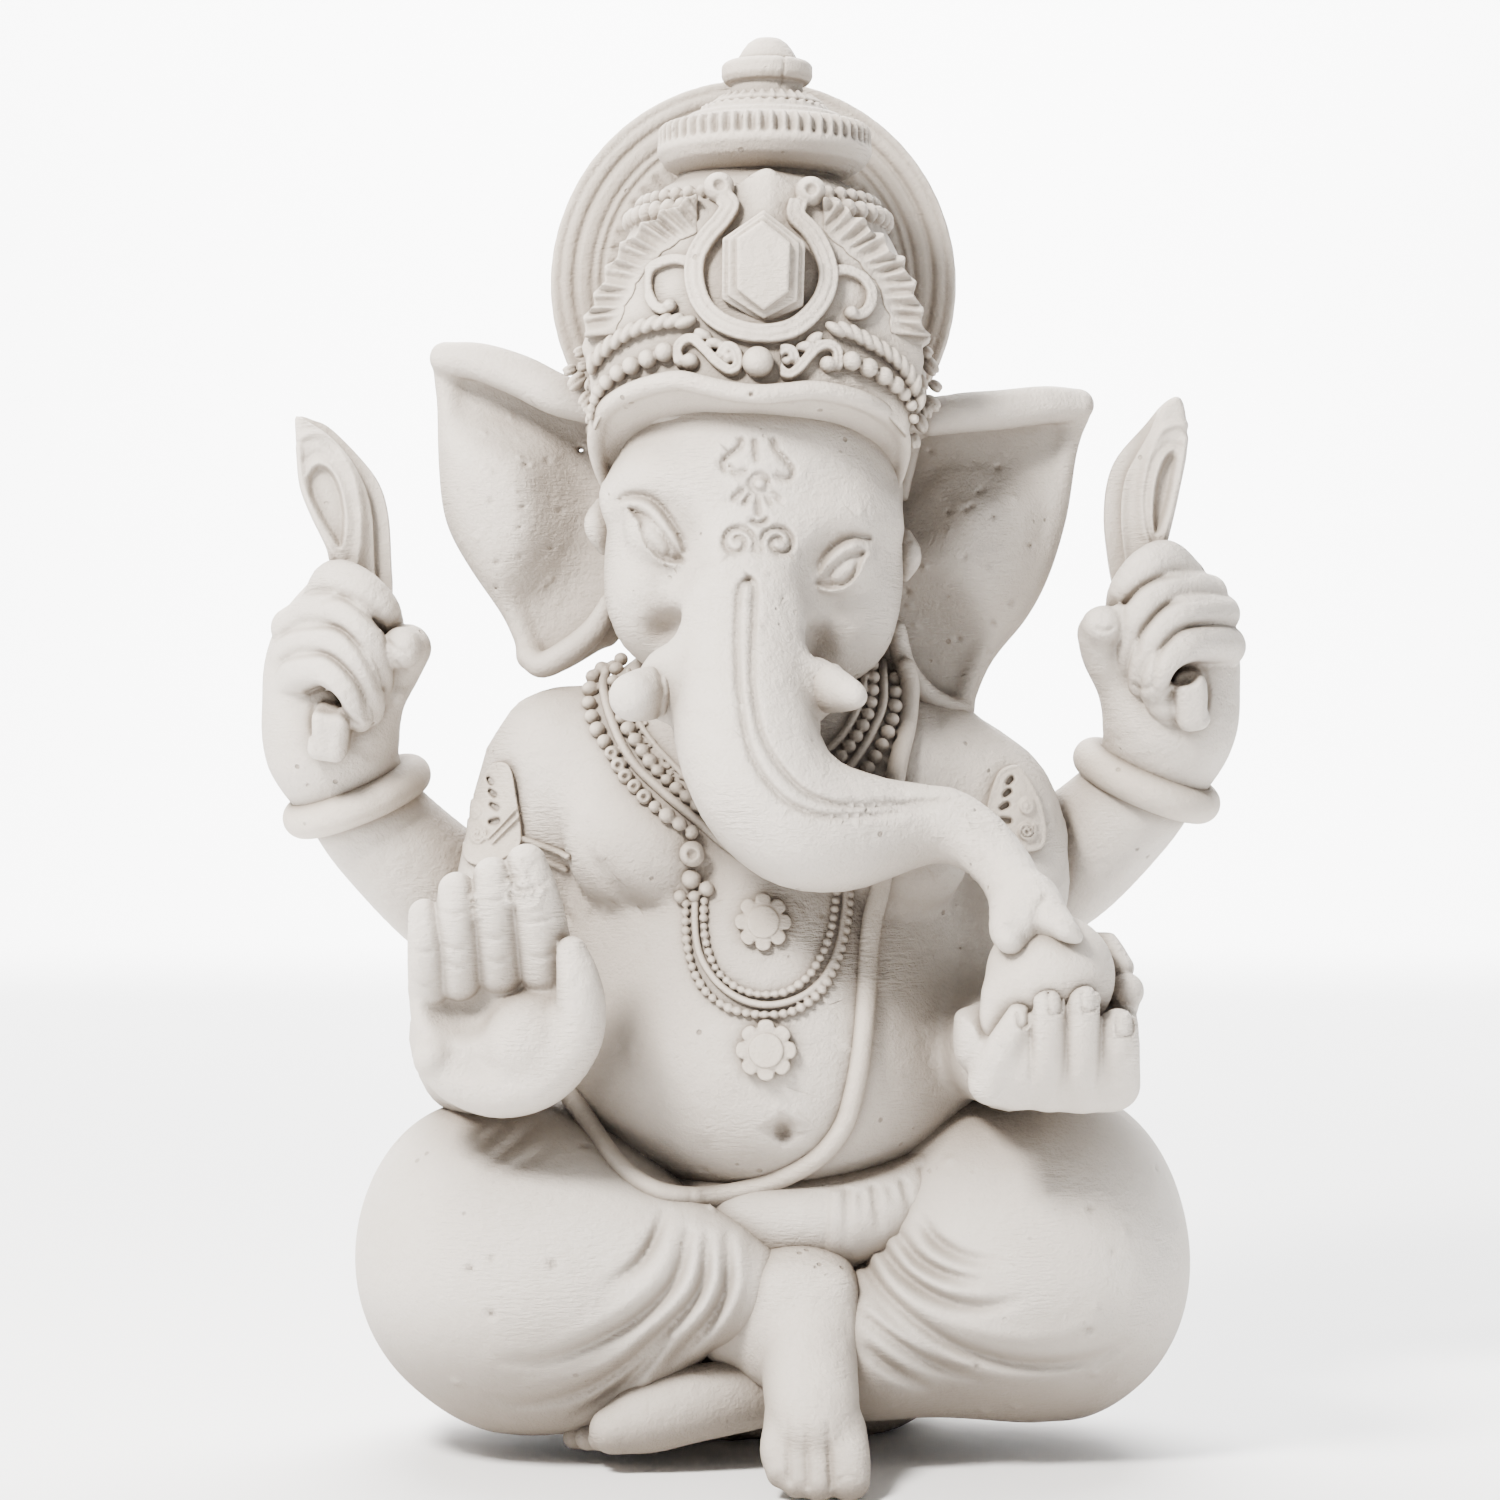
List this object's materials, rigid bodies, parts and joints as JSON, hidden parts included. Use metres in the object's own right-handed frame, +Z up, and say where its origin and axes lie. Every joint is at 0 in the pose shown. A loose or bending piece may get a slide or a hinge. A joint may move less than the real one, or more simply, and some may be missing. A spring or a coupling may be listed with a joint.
{
  "type": "seated elephant-headed idol",
  "caption": "Seated elephant-headed deity idol in plain white plaster, with a tiered crown and halo, curled trunk, raised palm, sweet in hand and two held emblems.",
  "frame": {"origin": "a point on the flat underside of the seat, below the belly", "axes": "+Z up along the figure, -Y the way the figure faces, +X towards the figure's own left side"},
  "size_m": [0.194, 0.118, 0.2784],
  "materials": {
    "plaster_skin": "matte, unpainted",
    "plaster_cloth": "matte, unpainted",
    "plaster_crown": "matte, unpainted",
    "plaster_jewellery": "matte, unpainted",
    "plaster_held": "matte, unpainted"
  },
  "bodies": {
    "root": {"armlet_left": "plaster_jewellery", "armlet_right": "plaster_jewellery", "bangle_left": "plaster_jewellery", "bangle_right": "plaster_jewellery", "blessing_hand": "plaster_skin", "chest_chain_inner": "plaster_jewellery", "chest_chain_outer": "plaster_jewellery", "collar_beads_inner_left": "plaster_jewellery", "collar_beads_inner_right": "plaster_jewellery", "collar_beads_outer_left": "plaster_jewellery", "collar_beads_outer_right": "plaster_jewellery", "collar_drop": "plaster_jewellery", "crown_bead_row_left": "plaster_jewellery", "crown_bead_row_right": "plaster_jewellery", "crown_bell": "plaster_crown", "crown_brow_band": "plaster_crown", "crown_cap": "plaster_crown", "crown_centre_bead": "plaster_jewellery", "crown_finial": "plaster_crown", "crown_gem": "plaster_jewellery", "crown_gem_frame": "plaster_crown", "crown_leaf_border_left": "plaster_crown", "crown_leaf_border_right": "plaster_crown", "crown_ring": "plaster_crown", "crown_rope_left": "plaster_jewellery", "crown_rope_right": "plaster_jewellery", "crown_scroll_left": "plaster_crown", "crown_scroll_right": "plaster_crown", "ear_left": "plaster_skin", "ear_right": "plaster_skin", "emblem_left": "plaster_held", "emblem_right": "plaster_held", "eye_left": "plaster_skin", "eye_right": "plaster_skin", "foot_left": "plaster_skin", "foot_right": "plaster_skin", "front_arm_left": "plaster_skin", "front_arm_right": "plaster_skin", "halo_disc": "plaster_crown", "head": "plaster_skin", "leg_left": "plaster_cloth", "leg_right": "plaster_cloth", "modak_sweet": "plaster_held", "offering_hand": "plaster_skin", "pendant_lower": "plaster_jewellery", "pendant_upper": "plaster_jewellery", "rear_arm_left": "plaster_skin", "rear_arm_right": "plaster_skin", "rear_hand_left": "plaster_skin", "rear_hand_right": "plaster_skin", "sacred_thread": "plaster_jewellery", "torso": "plaster_skin", "trunk": "plaster_skin", "tusk_left": "plaster_skin", "tusk_right": "plaster_skin", "waist_cloth": "plaster_cloth"}
  },
  "joints": []
}
